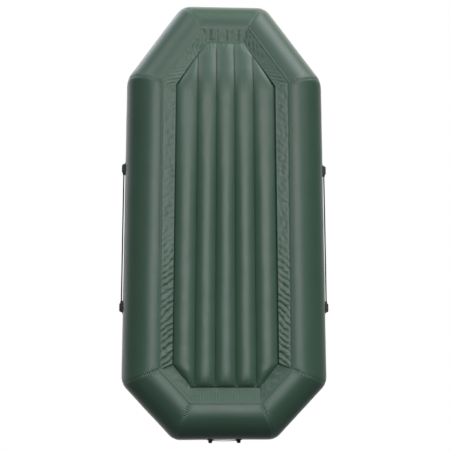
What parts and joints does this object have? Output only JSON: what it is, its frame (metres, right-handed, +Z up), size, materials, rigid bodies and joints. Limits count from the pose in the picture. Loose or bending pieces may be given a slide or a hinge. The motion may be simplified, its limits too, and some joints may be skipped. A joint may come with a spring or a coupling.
{
  "type": "inflatable kayak",
  "caption": "Flat-bottomed inflatable kayak with an eight-sided hull tube, a raised bow, a ribbed air floor, side grab ropes, a stern handle, oarlocks and push valves.",
  "frame": {"origin": "on the ground under the middle of the boat", "axes": "+Z up, -Y towards the bow, +X to port"},
  "size_m": [1.249, 2.676, 0.4775],
  "materials": {
    "hull_fabric": "satin",
    "hull_fabric_inner": "matte",
    "seam_tape": "matte",
    "floor_fabric": "satin",
    "black_rubber": "matte",
    "rope": "matte",
    "webbing": "matte",
    "black_plastic": "satin",
    "grey_plastic": "satin",
    "steel": "satin"
  },
  "bodies": {
    "hull": {"tube_port": "hull_fabric", "tube_stern_port": "hull_fabric", "tube_stern": "hull_fabric", "tube_stern_starboard": "hull_fabric", "tube_starboard": "hull_fabric", "tube_bow_starboard": "hull_fabric", "tube_bow": "hull_fabric", "tube_bow_port": "hull_fabric", "seam_tape_bow_shoulder_port": "seam_tape", "seam_tape_stern_shoulder_port": "seam_tape", "seam_tape_stern_corner_port": "seam_tape", "seam_tape_stern_corner_starboard": "seam_tape", "seam_tape_stern_shoulder_starboard": "seam_tape", "seam_tape_bow_shoulder_starboard": "seam_tape", "seam_tape_bow_corner_starboard": "seam_tape", "seam_tape_bow_corner_port": "seam_tape", "bulkhead_bow": "hull_fabric_inner", "bulkhead_stern": "hull_fabric_inner", "bottom_sheet": "floor_fabric", "floor_cell_1": "floor_fabric", "floor_cell_2": "floor_fabric", "floor_cell_3": "floor_fabric", "floor_cell_4": "floor_fabric", "floor_cell_5": "floor_fabric", "rope_holder_port_bow": "black_rubber", "rope_holder_port_stern": "black_rubber", "grab_rope_port": "rope", "handle_anchor_port": "black_rubber", "oarlock_pad_port": "black_rubber", "rope_holder_starboard_bow": "black_rubber", "rope_holder_starboard_stern": "black_rubber", "grab_rope_starboard": "rope", "handle_anchor_starboard": "black_rubber", "oarlock_pad_starboard": "black_rubber", "handle_strap": "webbing", "tow_patch": "black_rubber", "valve_port_base": "grey_plastic", "valve_port_spring": "steel", "valve_starboard_base": "grey_plastic", "valve_starboard_spring": "steel", "valve_floor_base": "grey_plastic", "valve_floor_spring": "steel"},
    "oarlock_port": {"oarlock_swivel_port": "black_plastic"},
    "oarlock_starboard": {"oarlock_swivel_starboard": "black_plastic"},
    "plunger_port": {"valve_port_plunger": "black_plastic"},
    "cap_port": {"valve_port_cap": "grey_plastic"},
    "plunger_starboard": {"valve_starboard_plunger": "black_plastic"},
    "cap_starboard": {"valve_starboard_cap": "grey_plastic"},
    "plunger_floor": {"valve_floor_plunger": "black_plastic"},
    "cap_floor": {"valve_floor_cap": "grey_plastic"},
    "tow_ring": {"tow_ring": "steel"}
  },
  "joints": [
    {"name": "oarlock_port_swivel", "type": "hinge", "parent": "hull", "child": "oarlock_port", "pos_m": [0.4257, 0.031, 0.376], "axis": [0, 0, 1], "continuous": true},
    {"name": "oarlock_starboard_swivel", "type": "hinge", "parent": "hull", "child": "oarlock_starboard", "pos_m": [-0.4257, 0.031, 0.376], "axis": [0, 0, 1], "continuous": true},
    {"name": "valve_port_press", "type": "slide", "parent": "hull", "child": "plunger_port", "axis": [0, 0, 1], "range_m": [-0.004, 0], "stiffness_N_per_m": 250, "springref_m": 0.002, "deforming": ["valve_port_spring"]},
    {"name": "valve_port_cap_off", "type": "slide", "parent": "hull", "child": "cap_port", "axis": [0, 0, 1], "range_m": [0, 0.03]},
    {"name": "valve_starboard_press", "type": "slide", "parent": "hull", "child": "plunger_starboard", "axis": [0, 0, 1], "range_m": [-0.004, 0], "stiffness_N_per_m": 250, "springref_m": 0.002, "deforming": ["valve_starboard_spring"]},
    {"name": "valve_starboard_cap_off", "type": "slide", "parent": "hull", "child": "cap_starboard", "axis": [0, 0, 1], "range_m": [0, 0.03]},
    {"name": "valve_floor_press", "type": "slide", "parent": "hull", "child": "plunger_floor", "axis": [0, 0, 1], "range_m": [-0.004, 0], "stiffness_N_per_m": 250, "springref_m": 0.002, "deforming": ["valve_floor_spring"]},
    {"name": "valve_floor_cap_off", "type": "slide", "parent": "hull", "child": "cap_floor", "axis": [0, 0, 1], "range_m": [0, 0.03]},
    {"name": "tow_ring_swing", "type": "hinge", "parent": "hull", "child": "tow_ring", "pos_m": [0, -1.164, 0.472], "axis": [1, 0, 0], "range_deg": [0, 155]}
  ]
}
